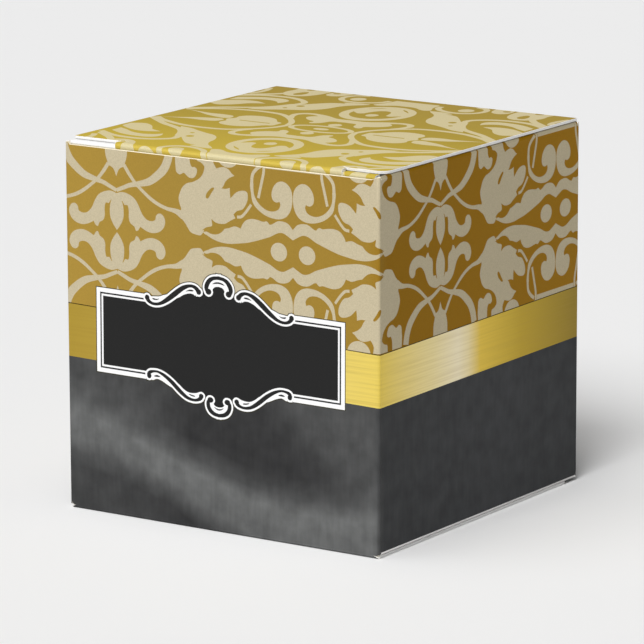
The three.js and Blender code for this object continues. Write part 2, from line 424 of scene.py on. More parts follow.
def add_panel(node, body, slot, panel, shape, artwork, flush, edge="raw_edge"):
    """A board panel cut to shape, with its artwork on the outside, in the CAD node's place. Artwork lists ink,
    outline, and the lowest and highest s that it reaches; each lies over those before it."""
    face = moved_out(anticlockwise(shape), -EDGE_CHAMFER, flush)
    low, high = face.min(0) - PRINT_MARGIN, face.max(0) + PRINT_MARGIN
    artwork = [a for a in artwork if np.all(a[1].max(0) > low) and np.all(a[1].min(0) < high)]
    points, triangles = cut_sheet([face] + [a[1] for a in artwork], panel.fold_lines())
    centres = points[triangles].mean(1)
    kept = inside(centres, face)
    triangles, centres = triangles[kept], centres[kept]
    worn = np.full(len(triangles), "bare_board", object)
    for ink, drawn, lowest, highest in artwork:
        covered = inside(centres, drawn) & (centres[:, 0] > lowest) & (centres[:, 0] < highest)
        worn[covered] = ink
    used = sorted(set(worn))
    sheet = Sheet(panel, used + [ink for ink in ("bare_board", edge) if ink not in used])
    sheet.add_side(points, triangles, worn, 0, outside=True)
    rims = [points[loop] for loop in rim_loops(triangles)]
    for rim in rims:
        sheet.add_rim(rim, moved_out(rim, EDGE_CHAMFER, flush), edge)
    points, triangles = cut_sheet(rims, panel.fold_lines())
    centres = points[triangles].mean(1)
    covered = sum(inside(centres, rim).astype(int) for rim in rims)
    triangles = triangles[covered % 2 == 1]
    bare = ["bare_board"] * len(triangles)
    sheet.add_side(points, triangles, bare, BOARD - INNER_FOLD_RADIUS, outside=False)
    piece = sheet.piece(node + "_sheet")
    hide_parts(node)
    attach(piece, body)


# Artwork: lists of an ink's name and an outline, in flat millimetres

def ink(name, *shapes):
    return [(name, shape) for shape in shapes]


def flipped(artwork, x=1, y=1):
    return [(name, shape * (x, y)) for name, shape in artwork]


def in_quadrants(artwork):
    """Artwork drawn in one quadrant and mirrored into the other three, layer by layer."""
    return [entry for layer in artwork for x in (1, -1) for y in (1, -1) for entry in flipped([layer], x, y)]


def wall_damask():
    """A quadrant of the wall's damask: x from the palmette's axis to the scroll's, y from the mirror line."""
    palmette = [
        outline(corner(0, 0.15), (0.55, 0.9), (1, 1.9), (1.05, 3), (0.8, 4.2), corner(0, 5.2)),
        outline(
            corner(0, 5.2), (0.9, 5.45), (2, 5.2), (2.8, 4.7), (3.3, 4), (3.9, 2.8), (4.6, 2.1), (5.3, 1.95),
            (5.95, 2.2), (6.1, 2.8), (6.55, 3.15), (7.1, 3), (7.5, 2.3), (7.35, 1.4), (6.7, 0.7), (5.6, 0.35),
            (4.6, 0.5), corner(3.6, 1), (3.25, 0.45), (2.95, 0.35), (2.7, 0.9), (2.1, 1.3), (1.85, 1.9),
            (1.85, 3), (1.65, 3.75), (1.2, 3.7), (0.9, 4.2), corner(0, 4.4)),
    ]
    stems = [
        stem((0, 5.6, 0.5), (1, 6.05, 0.55), (2, 6.5, 0.6), (3.5, 6.85, 0.75), (5, 7.3, 1), (6.3, 8.2, 1.15),
             (7.4, 9.3, 1.25), (8, 10.5, 1.25), (8.3, 11.8, 1.25)),
        stem((1.2, 9.2, 0.5), (2, 8, 0.5), (2.9, 6.9, 0.45), (4, 5.95, 0.45), (5.2, 5.05, 0.5), (6.4, 4.4, 0.5),
             (7.8, 3.95, 0.5), (9.2, 3.75, 0.7), (10.4, 3.3, 1.2)),
        strand(0.4, (19.3, 4), (20, 4.1), (20.7, 4.7), (21.3, 5.4), (21.7, 5.9)),
        strand(0.5, (21.8, 8.6), (22, 10), (22.7, 10.8), (23.5, 11.3)),
        strand(0.45, (23.9, 11.9), (23.9, 10.5), (23.6, 9.3), (23.3, 8.2), (22.95, 6.9)),
    ]
    tulip = outline(
        corner(0, 7.5), (0.35, 8.4), (0.7, 8.75), corner(1.15, 8.9), (1.4, 9.6), (1.65, 10.5),
        corner(1.7, 11.9), corner(0, 11.9))
    acanthus = outline(
        (10, 3.1), (10.7, 2.3), (11.2, 1.6), (11.6, 1.15), (12.3, 0.95), (13.2, 0.9), corner(13.6, 1.3),
        (14, 2), (14.6, 2.2), (15.1, 2.4), corner(15, 3.3), (15.7, 2.9), (16.5, 2.8), (17.3, 2.9), (18, 3.3),
        corner(19, 3.8), corner(18.7, 4.3), (19.3, 4.8), (20.2, 5.1), (20.8, 5.8), (21.1, 6.5), (21.1, 7.3),
        (20.8, 7.6), (20, 7.6), (19.2, 7.3), (18.6, 6.8), corner(18.2, 6.4), (18.1, 7.2), corner(18.1, 7.8),
        (17.4, 7.6), corner(16.7, 7.6), (17, 7.9), (17.4, 8.6), (18, 9.1), corner(18.9, 9.5), (18.4, 9.8),
        (18, 10.2), (17.2, 10.5), (16.5, 10.4), corner(15.9, 10.2), (15.6, 10.6), (15.4, 11),
        corner(15.5, 11.9), corner(12.6, 11.9), (12.7, 11), (13.3, 10.8), (13.9, 10.3), (13.8, 9.6),
        (13.4, 8.9), (12.8, 8.4), (12, 8), (11, 7.7), (10.3, 7.1), (9.9, 6.3), (9.7, 5.6), (9.9, 4.7),
        (10.1, 4.2))
    slits = [
        outline((14.1, 6.1), (14.2, 6.6), (14.7, 7.2), (15.3, 7.6), (15.5, 7.5), (15.1, 6.9), (14.7, 6.3),
                (14.4, 6)),
        outline(corner(13.1, 9.3), (13.5, 9.8), (13.6, 10.3), corner(13.1, 10.8), (13.2, 10.2)),
        outline(corner(13.4, 1.6), (13.8, 1.7), corner(14, 2)),
    ]
    bud = outline(
        corner(9.3, 11.9), (9.2, 11), (9.25, 10), (9.4, 9.1), (9.9, 8.8), (10.6, 9.1), (11, 8.8), (11.5, 8.5),
        (12.2, 8.6), (12.6, 9.1), (12.7, 9.8), (12.3, 10.05), (11.9, 10), (11.6, 10.5), corner(11.5, 11.9))
    scroll = outline(
        (21.6, 8.8), (21.7, 7.4), (22, 6.2), (22.8, 5.4), (24, 4.75), (25.5, 4.4), (26.9, 4.45), (28, 4.95),
        (28.7, 5.9), (28.95, 7.1), (28.8, 8.3), (28.2, 9.1), (27.2, 9.5), (26.2, 9.25), (25.5, 8.5),
        (25.25, 7.5), (25.5, 6.85), (26.1, 6.6), corner(26.65, 6.75), (26.8, 6.35), (26.5, 5.75), (25.8, 5.4),
        (24.7, 5.35), (23.6, 5.75), (22.7, 6.5), (22.2, 7.4), (22.1, 8.4), (22.1, 8.8))
    eye_leaf = outline(
        corner(13.6, 1.4), (14.2, 1.5), (14.8, 1.3), (15.5, 1.25), (16.2, 1.4), (16.7, 1.7), corner(17.2, 2.2),
        (18, 2.4), (18.9, 2.7), corner(19.9, 2.5), (20.2, 3.1), (20.8, 3.7), (21.8, 4), (22.8, 3.95),
        (23.8, 3.8), (24.4, 3.9), corner(24.9, 3.5), (25.3, 3.6), (26.3, 4.1), (27.3, 4.15), (28.2, 3.9),
        corner(29, 3.2), corner(29, 1.8), (28.2, 2.2), (27.2, 2.6), (26.3, 2.5), (25, 1.9), (23.8, 1.5),
        (22.5, 1.1), (21, 0.7), (19.5, 0.45), (18, 0.25), (16.5, 0.3), (15.2, 0.6), (14.3, 1), (13.8, 1.2))
    dots = [ellipse(26.5, 0, 1.45, 1.25), ellipse(17.8, 12.2, 1.9, 1.7)]
    rim = polygon((24.2, 11), (29, 11), (29, 11.7), (24.2, 11.7))
    leaves = ink("motif", acanthus) + ink("ground", *slits)
    return leaves + ink("motif", *palmette, *stems, tulip, bud, scroll, eye_leaf, *dots, rim)


def lid_damask():
    """A quadrant of the lid's damask: x to the side from its centre, y out from it."""
    eye = ink("motif", ellipse(0, 0, 5.2, 2.5)) + ink("ground", ellipse(0, 0, 4.3, 1.75))
    eye += ink("motif", ellipse(0, 0, 1.2, 0.7))
    bud = outline(corner(0, 2.4), (0.7, 2.9), (1, 3.6), (0.7, 4.3), corner(0, 4.7))
    curled = [
        outline(
            corner(0, 6.1), (0.9, 6), (1.6, 6), (2.2, 5.6), (2.4, 4.9), (2.7, 4.1), (3.4, 3.4), (4, 3.25),
            (4.3, 3.7), (4.1, 4.4), (4.4, 4.8), (5.2, 5.1), (6, 5.7), (6.7, 6.5), (6.9, 7.3), (6.5, 8),
            corner(6, 8.4), corner(6.2, 9.8), (5, 9.4), (4, 8.9), (3, 8.3), (2, 8), (1, 8), corner(0, 8.1)),
        stem((5.6, 8.9, 1), (7.2, 9.5, 1), (8.7, 9.2, 1), (9.4, 8.1, 1), (9.1, 6.6, 0.9), (8.2, 5, 0.8)),
    ]
    bands = [
        strand(0.9, (5.6, 0), (6.2, 2), (7, 3.3), (8, 4.5), (9.5, 5.9), (11, 6.9), (13, 7.4), (16, 7.5),
               (19, 7), (21, 6.2), (23, 5.2), (25, 3.6)),
        strand(1, (14.2, 14), (13.7, 16.5), (15.3, 18.2), (17.5, 19.1), (20, 19.2), (22.5, 18.7), (25.5, 17)),
        strand(1, (14.2, 14.6), (15.4, 12), (16.8, 10.2), (18.8, 8.9), (21, 7.7), (23, 6.2), (25.5, 4.2)),
        strand(0.9, (4.3, 24.2), (4.6, 22.9), (5.4, 21.9), (6.6, 21.2), (8, 20.8), (9.8, 21), (11.2, 22.2),
               (11.6, 24), (10.8, 25.6), (9, 26.3)),
    ]
    rosette = outline(
        corner(7.2, 0), (7.3, 1.2), (8.2, 1.6), (9.5, 3.2), (11, 4), (12.7, 4.2), (14.5, 3.6), (15.2, 2.5),
        (15, 1.2), (15.6, 0.3), corner(15.6, 0))
    tail = outline(
        (15.7, 0.7), (16, 2.2), (18, 2.7), (20, 2.6), (22, 2.9), corner(24.5, 3.4), (22, 2.4), (20, 1.3),
        (18, 0.6), (16.5, 0.3))
    leaf = outline(
        corner(5.2, 20), (5.6, 19.4), (7, 18), (7.8, 16.5), (8.2, 14.5), (9, 12.8), (10.2, 11.6), (12, 10.8),
        (14, 9.8), (15.5, 8.9), corner(17.8, 8.3), (17, 9.8), (15.7, 11.2), (14.4, 13), (13.9, 14.4),
        corner(12.9, 15.6), (12.3, 16.4), (11.3, 17.6), (10.4, 18.5), corner(9.2, 19), (7.2, 19.2))
    notches = [ellipse(12.6, 14, 0.6, 0.6), ellipse(13.7, 11.7, 0.35, 0.35),
               polygon((8.5, -0.2), (13.5, -0.2), (13.5, 0.2), (8.5, 0.2))]
    crescent = outline(
        corner(16.8, 14.4), (16.3, 15.6), (16.4, 16.7), (17.5, 17.6), (20, 17.7), (22, 17.2),
        corner(24.5, 15.8), corner(24.5, 13.5), (23, 14.3), (21, 15.6), (19, 15.9), (17.5, 15.3))
    side_leaf = outline(
        corner(18, 13.2), (20, 14.1), (22, 14), (24, 13), corner(25.3, 12), corner(25.3, 9.8), (23.5, 9),
        (22, 9.7), (21, 10.8), (20, 12.2))
    medallion = [
        ink("motif", ellipse(0, 14.5, 5.2, 5.9)), ink("ground", ellipse(0, 14.75, 3.95, 4.55)),
        ink("motif", outline(corner(0, 11.9), (0.7, 12.4), (0.9, 13.2), (0.6, 13.8), corner(0, 14))),
        ink("motif", outline(
            corner(0, 16.9), (0.8, 16.6), (1.4, 15.6), (1.7, 14.5), (1.9, 13.7), (2.6, 13.4), (3.3, 13.9),
            (4, 14.6), (4.15, 15.6), (3.8, 16.6), (3, 17.4), (2.1, 18.1), (1.4, 18.9), (1.1, 19.7),
            corner(0, 20))),
        ink("motif", outline(
            corner(0, 21.5), (1.2, 21.5), (2.2, 21.1), (3, 20.5), (4, 20.2), (4.7, 20.6), (4.5, 21.4),
            (4, 22.4), (3.8, 23.6), corner(3.6, 24.9), corner(0, 24.9))),
        ink("motif", outline((5, 20.2), (6.2, 20.4), (7.6, 20.2), (9, 19.6), (7.8, 18.9), (6.3, 19))),
        ink("motif", ellipse(9, 23.2, 1.15, 1.2)),
    ]
    cluster = [
        outline(
            corner(15.6, 27.5), (15.65, 25), (16.1, 22.8), (17, 21.2), (18.5, 20.5), (20, 20.8), (21, 21.8),
            (21.4, 23.4), (21.2, 25.2), corner(21.6, 27.5)),
        outline(
            corner(11.8, 27.5), (12.1, 25.2), (12.9, 23.7), (14.2, 23.3), (15.1, 24.1), (15.2, 25.4),
            corner(14.7, 27.5)),
        stem((20.6, 21.8, 1), (21.8, 20.4, 1.1), (23.2, 19.3, 1.1), (24.9, 17.9, 1.2)),
        strand(0.9, (25, 24.5), (24.4, 22.5), (24.4, 20.8), (25, 19.3)),
    ]
    cores = [
        outline((18.3, 24.4), (17.8, 23.2), (18, 22), (18.7, 21.5), (19.3, 21.9), (19.3, 22.9), (18.9, 24)),
        ellipse(19.1, 26.2, 0.7, 0.55),
        ellipse(14.2, 25.5, 0.6, 0.5),
    ]
    artwork = eye + ink("motif", bud, *curled, *bands, rosette, tail, leaf, crescent, side_leaf)
    artwork += ink("ground", *notches)
    for motif in medallion:
        artwork += motif
    return artwork + ink("motif", *cluster) + ink("ground", *cores)


LABEL_HALF_WIDTH = 20.2
LABEL_HALF_HEIGHT = 5.87
LABEL_FRAME_END = 11.95
LABEL_SHADOW = 0.12
SCROLL_LINE = 0.27


def label_frame(inset, width):
    """The right half of a line round the label's plain end, at an inset from its outer edge."""
    x, y = LABEL_HALF_WIDTH - inset, LABEL_HALF_HEIGHT - inset
    return polygon(
        (LABEL_FRAME_END, y), (LABEL_FRAME_END, y - width), (x - width, y - width), (x - width, width - y),
        (LABEL_FRAME_END, width - y), (LABEL_FRAME_END, -y), (x, -y), (x, y))


def label_half():
    """The right half of the label, from its centre, in layers from the lowest up."""
    cores = [
        stem((11.79, 5.6, 0.58), (11.71, 5.3, 0.65), (11.44, 4.95, 0.52), (10.95, 4.72, 0.42), (10.3, 4.68, 0.4),
             (9.5, 4.88, 0.46), (8.75, 5.3, 0.6), (8, 5.82, 0.7), (7.2, 6.43, 0.75), (6.45, 7, 0.72),
             (5.67, 7.5, 0.62), (4.9, 7.8, 0.46), (4.25, 7.85, 0.44), (3.7, 7.65, 0.56), (3.35, 7.3, 0.66),
             (3.2, 6.95, 0.62)),
        ellipse(11.74, 5.42, 0.38, 0.38),
        ellipse(3.22, 7.18, 0.39, 0.38),
        stem((-0.2, 9.48, 0.48), (0.84, 9.33, 0.5), (1.38, 9.04, 0.6), (1.8, 8.53, 0.68), (2, 7.95, 0.66),
             (1.94, 7.5, 0.5)),
        ellipse(1.64, 7.42, 0.48, 0.42),
        stem((11.44, -5.5, 0.6), (11.56, -5.18, 0.6), (11.34, -4.85, 0.5), (10.73, -4.66, 0.34),
             (10.04, -4.64, 0.32), (9.22, -4.9, 0.44), (8.4, -5.33, 0.54), (7.58, -5.88, 0.6),
             (6.75, -6.55, 0.62), (5.93, -7.15, 0.56), (5.11, -7.6, 0.46), (4.15, -7.77, 0.38),
             (3.47, -7.66, 0.42), (2.99, -7.36, 0.6), (2.87, -7, 0.62)),
        ellipse(11.47, -5.35, 0.36, 0.38),
        ellipse(2.9, -7.1, 0.38, 0.36),
        stem((1.7, -7.5, 0.5), (1.76, -7.9, 0.6), (1.7, -8.33, 0.6), (1.37, -8.86, 0.62), (0.8, -9.22, 0.55),
             (-0.2, -9.4, 0.44)),
        ellipse(1.38, -7.38, 0.48, 0.38),
    ]
    highlights = [
        outline((11.55, 5.9), (11.15, 5.67), (10.5, 5.72), (9.75, 5.8), (9.1, 6.03), (8.4, 6.2), (8.3, 5.9),
                (9.3, 5.2), (10.3, 4.97), (11.05, 5.03), (11.44, 5.46)),
        outline((7.43, 5.52), (6.9, 5.86), (6.3, 6.15), (5.8, 6.46), (5.2, 6.7), (4.7, 6.81), (4.1, 6.75),
                (3.8, 6.58), (3.8, 7.33), (4.1, 7.58), (4.7, 7.6), (5.2, 7.47), (5.8, 7.13), (6.3, 6.75),
                (6.9, 6.32), (7.43, 5.94)),
        outline(corner(0, 9.3), (0.5, 9.2), (0.95, 8.95), (1.4, 8.5), (1.62, 7.85), (1.6, 7.5), (1.05, 7.2),
                (0.95, 7.8), (0.62, 8.15), corner(0, 8.27)),
        outline((11, -5.92), (10.2, -5.64), (9.36, -5.82), (8.53, -6.2), (7.9, -6.45), (7.3, -6.6),
                (7.58, -6.15), (8.4, -5.58), (9.36, -5.13), (10.3, -4.9), (11, -5.1)),
        outline((6.6, -5.9), (5.8, -6.47), (4.97, -6.82), (4.15, -6.82), (3.6, -6.72), (3.25, -6.6), (3.15, -7.1),
                (3.74, -7.48), (4.56, -7.52), (5.38, -7.23), (6.2, -6.65)),
        outline(corner(0, -9.15), (0.55, -8.98), (1.1, -8.5), (1.4, -7.95), (1.4, -7.6), (0.95, -7.5),
                (0.85, -7.9), (0.55, -8.15), corner(0, -8.25)),
    ]
    slivers = [
        outline((10.9, 5.45), (10.5, 5.42), (10.1, 5.4), (9.75, 5.5), (10, 5.3), (10.4, 5.22), (10.75, 5.25)),
        outline((5.4, 6.98), (5, 7.22), (4.7, 7.33), (4.3, 7.35), (4.05, 7.22), (4.4, 7.13), (4.9, 7.1)),
        outline(corner(0, 8.9), (0.6, 8.8), (1, 8.52), (0.6, 8.6), corner(0, 8.68)),
        outline((10.7, -5.3), (10.15, -5.1), (9.6, -5.3), (10.1, -5.37), (10.5, -5.38)),
        outline((4.97, -7), (4.5, -7.08), (3.95, -7.17), (3.9, -7.28), (4.42, -7.27), (4.77, -7.17)),
        outline(corner(0, -8.68), (0.4, -8.58), (0.8, -8.25), (0.4, -8.4), corner(0, -8.47)),
    ]
    field = polygon(
        (0, 9), (1.2, 8), (2.2, 7.3), (3.3, 7.2), (4.9, 7.7), (6.8, 7.2), (8.6, 5.8), (10, 5), (12.4, 5.3),
        (12.4, LABEL_HALF_HEIGHT), (LABEL_HALF_WIDTH, LABEL_HALF_HEIGHT),
        (LABEL_HALF_WIDTH, -LABEL_HALF_HEIGHT), (12.4, -LABEL_HALF_HEIGHT), (12, -5.1), (10, -5),
        (8.4, -5.7), (6.6, -7.1), (4.9, -7.8), (3.2, -7.4), (2.2, -7.2), (1.4, -7.8), (0.8, -8.6), (0, -9))
    frames = [label_frame(0, 0.6), label_frame(0.82, 0.27)]
    whites = [moved_out(anticlockwise(core), SCROLL_LINE) for core in cores] + highlights
    shadows = [moved_out(anticlockwise(shape), LABEL_SHADOW) for shape in [*whites, field]]
    return [ink("label_shadow", *shadows), ink("label_field", field), ink("label_white", *frames, *whites),
            ink("label_field", *cores, *slivers)]


LABEL_P = 25.2
LABEL_Z = 25.53
LABEL_TILT = math.radians(0.35)


def label():
    """The label in its place on the front wall, its right end a little low."""
    c, s = math.cos(LABEL_TILT), math.sin(LABEL_TILT)
    turn = np.array([(c, -s), (s, c)])
    artwork = []
    for layer in label_half():
        artwork += layer + flipped(layer, x=-1)
    return [(name, shape @ turn + (LABEL_P, LABEL_Z)) for name, shape in artwork]


# The walls' print runs round the box: front, right, back, left. p runs along each wall from its left edge.
FRONT, RIGHT, BACK, LEFT = range(4)
MIRROR_Z = 39.6
BAND_TOPS = [28.9, 27.6, 28.0, 28.4, 28.9]
BAND_FEET = [21.4, 20.4, 20.75, 21.0, 21.4]
BAND_LINE = 0.12
STRIP_MARGIN = 2
REPEAT = 1.0224
FRONT_STRETCH = (1.094, -0.00366)
DAMASK_AXES = {
    FRONT: [(8.6, FRONT_STRETCH), (65.9, FRONT_STRETCH)],
    RIGHT: [(14.85, (REPEAT, 0)), (74.15, (REPEAT, 0))],
    BACK: [(23.35, (REPEAT, 0)), (82.65, (REPEAT, 0)), (-35.95, (REPEAT, 0))],
    LEFT: [(0.1, (REPEAT, 0)), (59.4, (REPEAT, 0))],
}


def wall_strip(ink_name, tops, feet):
    """Ink between two lines that run from a wall's left edge to its right one."""
    first, last = -STRIP_MARGIN, WIDTH + STRIP_MARGIN
    return ink(ink_name, polygon((first, feet[0]), (last, feet[1]), (last, tops[1]), (first, tops[0])))


def wall_print(wall):
    """A wall's print, with p from its left edge and z up."""
    artwork = wall_strip("ground", (HEIGHT + 1, HEIGHT + 1), (0, 0))
    for axis, (first, second) in DAMASK_AXES[wall]:
        for side in (1, -1):
            for name, shape in wall_damask():
                p = axis + side * (first * shape[:, 0] + second * shape[:, 0]**2)
                for way in (1, -1):
                    artwork.append((name, np.column_stack([p, MIRROR_Z + way * shape[:, 1]])))
    tops, feet = BAND_TOPS[wall:wall + 2], BAND_FEET[wall:wall + 2]
    artwork += wall_strip("band", tops, feet)
    artwork += wall_strip("band_line", tops, [top - BAND_LINE for top in tops])
    artwork += wall_strip("satin", feet, (-1, -1))
    if wall == FRONT:
        artwork += label()
    return artwork


def around_corner(start, wall, panel):
    """The print of a wall whose crease is at p = start, and from mid fold on the print of the next wall."""
    laid = []
    for walls_on, lowest, highest in ((0, -panel.fold / 2, WIDTH), (1, -panel.fold, -panel.fold / 2)):
        for name, shape in wall_print((wall + walls_on) % 4):
            s = start - shape[:, 0] - WIDTH * walls_on
            if panel.fold:
                s = np.where(s < 0, s * panel.fold / (2 * BOARD), s)
            placed = np.column_stack([s, shape[:, 1] - MID])
            laid.append((name, placed, lowest, highest))
    return laid


LID_CENTRE_X = 0.25
LID_CENTRE_Y = -1.4
LID_REPEAT = 27.5
LID_LEAN = -0.027
LID_BEND = 0.001
PLAIN_REACH = 60


def lid_print(place):
    """The lid's print, placed by a function of its x and y as they lie on the flat lid."""
    quadrant = lid_damask()
    beyond = [(name, shape * (1, -1) + (0, 2 * LID_REPEAT)) for name, shape in quadrant]
    artwork = ink("lid_ground", polygon((-30, -60), (30, -60), (30, 30), (-30, 30)))
    for name, shape in in_quadrants(quadrant + beyond):
        y = shape[:, 1] + LID_CENTRE_Y
        x = shape[:, 0] + LID_CENTRE_X + LID_LEAN * y + LID_BEND * y**2
        artwork.append(("lid_" + name, np.column_stack([x, y])))
    return [(name, place(shape[:, 0], shape[:, 1]), -WIDTH, WIDTH * 2) for name, shape in artwork]


def plain_print(ink_name):
    """One ink all over a panel."""
    field = PLAIN_REACH * polygon((-1, -1), (1, -1), (1, 1), (-1, 1))
    return [(ink_name, field, -WIDTH, WIDTH * 2)]


def bare_beyond(bleed, half_width):
    """Bare board past the print that runs on over a fold by bleed."""
    field = polygon((bleed, -half_width), (WIDTH, -half_width), (WIDTH, half_width), (bleed, half_width))
    return "bare_board", field, bleed, WIDTH


# Materials

class Nodes:
    """The node tree of a new material, and short ways to add to it. Places are in millimetres on the box."""

    def __init__(self, name, metallic=0.0, roughness=0.5, **shader_values):
        self.material = bpy.data.materials.new(name)
        self.material.use_nodes = True
        self.tree = self.material.node_tree
        self.shader = self.tree.nodes["Principled BSDF"]
        self.set(self.shader, Metallic=metallic, Roughness=roughness, **shader_values)
        place = self.tree.nodes.new("ShaderNodeTexCoord")
        self.place = self.maths(place.outputs["Object"], "SCALE", Scale=1 / MM)

    def set(self, node, **values):
        for name, value in values.items():
            name = name.replace("_", " ")
            if isinstance(value, bpy.types.NodeSocket):
                self.tree.links.new(value, node.inputs[name])
            else:
                node.inputs[name].default_value = value

    def link(self, source, target):
        if isinstance(source, bpy.types.NodeSocket):
            self.tree.links.new(source, target)
        else:
            target.default_value = source

    def maths(self, vector, operation, Scale=1.0, other=None):
        node = self.tree.nodes.new("ShaderNodeVectorMath")
        node.operation = operation
        self.link(vector, node.inputs[0])
        if other is not None:
            self.link(other, node.inputs[1])
        if operation == "SCALE":
            node.inputs["Scale"].default_value = Scale
        return node.outputs[0]

    def sum(self, a, b, operation="ADD"):
        node = self.tree.nodes.new("ShaderNodeMath")
        node.operation = operation
        self.link(a, node.inputs[0])
        self.link(b, node.inputs[1])
        return node.outputs[0]

    def noise(self, scale, detail=2, stretch=(1, 1, 1)):
        """Noise of one cell in 1/scale millimetres, from about 0.3 to 0.7."""
        node = self.tree.nodes.new("ShaderNodeTexNoise")
        self.set(node, Scale=scale, Detail=detail)
        self.link(self.maths(self.place, "MULTIPLY", other=stretch), node.inputs["Vector"])
        return node.outputs["Fac"]

    def ramp(self, value, *stops):
        """Colours or greys at positions between 0 and 1."""
        node = self.tree.nodes.new("ShaderNodeValToRGB")
        elements = node.color_ramp.elements
        while len(elements) < len(stops):
            elements.new(1)
        for element, (position, colour) in zip(elements, stops):
            element.position = position
            element.color = (*colour, 1) if isinstance(colour, tuple) else (colour, colour, colour, 1)
        self.link(value, node.inputs["Fac"])
        return node.outputs["Color"]

    def mix(self, amount, a, b, blend="MIX"):
        node = self.tree.nodes.new("ShaderNodeMix")
        node.data_type = "RGBA"
        node.blend_type = blend
        self.link(amount, node.inputs["Factor"])
        for value, target in ((a, node.inputs["A"]), (b, node.inputs["B"])):
            self.link((*value, 1) if isinstance(value, tuple) else value, target)
        return node.outputs["Result"]

    def bump(self, height, strength, distance):
        node = self.tree.nodes.new("ShaderNodeBump")
        self.set(node, Strength=strength, Distance=distance * MM)
        self.link(height, node.inputs["Height"])
        self.link(node.outputs["Normal"], self.shader.inputs["Normal"])

    def colour(self, value):
        self.link(value, self.shader.inputs["Base Color"])


def coordinates(nodes):
    split = nodes.tree.nodes.new("ShaderNodeSeparateXYZ")
    nodes.link(nodes.place, split.inputs["Vector"])
    return split.outputs


def around_box(nodes):
    """Distance round the box's near corner as 0 to 1: the front wall below a half and the right wall above.
    The back and left walls mirror them."""
    place = coordinates(nodes)
    return nodes.sum(nodes.sum(nodes.sum(place["X"], place["Y"]), WIDTH), 2 * WIDTH, "DIVIDE")


def lid_depth(nodes):
    """Distance from the lid's front edge to its hinge as 0 to 1."""
    return nodes.sum(nodes.sum(coordinates(nodes)["Y"], HALF), WIDTH, "DIVIDE")


def up_dust_fold(nodes):
    """Height over an upper dust flap's fold as 0 to 1, along which the fold inks darken as painted shade."""
    return nodes.sum(nodes.sum(coordinates(nodes)["Z"], DUST_CREASE, "SUBTRACT"), BOARD, "DIVIDE")


SPECKLE = 0.15
PAPER_GRAIN = 2.5


def speckled(nodes, colour, amount):
    """The press's fine speckle over a colour."""
    dots = nodes.noise(1 / SPECKLE, detail=3)
    return nodes.mix(1.0, colour, nodes.ramp(dots, (0.36, 1 - amount), (0.64, 1.0)), "MULTIPLY")


def printed_ink(name, colour, speckle=0.08, specular=0.04, roughness=0.5, place=around_box):
    """Ink on satin board. Its colour is one, or stops along a place."""
    nodes = Nodes(name, 0, roughness, Specular_IOR_Level=specular)
    if isinstance(colour, list):
        colour = nodes.ramp(place(nodes), *colour)
    nodes.colour(speckled(nodes, colour, speckle))
    nodes.bump(nodes.noise(PAPER_GRAIN, detail=4), 0.15, 0.02)
    return nodes.material


def band_ink():
    """Foil-like gold, pale to the left of the box's near corner, silver on its right and then deep gold."""
    nodes = Nodes("band", metallic=0.7, roughness=0.32, Specular_IOR_Level=0.1)
    place = around_box(nodes)
    streaks = nodes.noise(1.2, detail=3, stretch=(0.06, 0.06, 3))
    colour = nodes.ramp(
        place, (0, (0.5, 0.34, 0.05)), (0.25, (0.62, 0.44, 0.085)), (0.44, (0.95, 0.74, 0.18)),
        (0.495, (0.96, 0.74, 0.16)), (0.505, (0.8, 0.6, 0.1)), (0.63, (0.85, 0.72, 0.36)),
        (0.69, (0.9, 0.8, 0.56)), (0.715, (0.85, 0.72, 0.4)), (0.745, (0.76, 0.53, 0.06)),
        (0.85, (0.5, 0.34, 0.02)), (1, (0.27, 0.18, 0.008)))
    nodes.colour(nodes.mix(nodes.ramp(streaks, (0.42, 0.0), (0.7, 0.2)), colour, (0.4, 0.26, 0.04)))
    return nodes.material


SATIN_TOP = 25
SATIN_CREST = [(0, 16.5), (0.1, 13.5), (0.2, 10), (0.28, 8), (0.37, 6.6), (0.44, 6.6), (0.5, 7.4)]
SATIN_TROUGH = [(0, 9.5), (0.074, 8.5), (0.118, 7.5), (0.172, 5.5), (0.21, 3.5), (0.25, 1.5), (0.3, 0)]


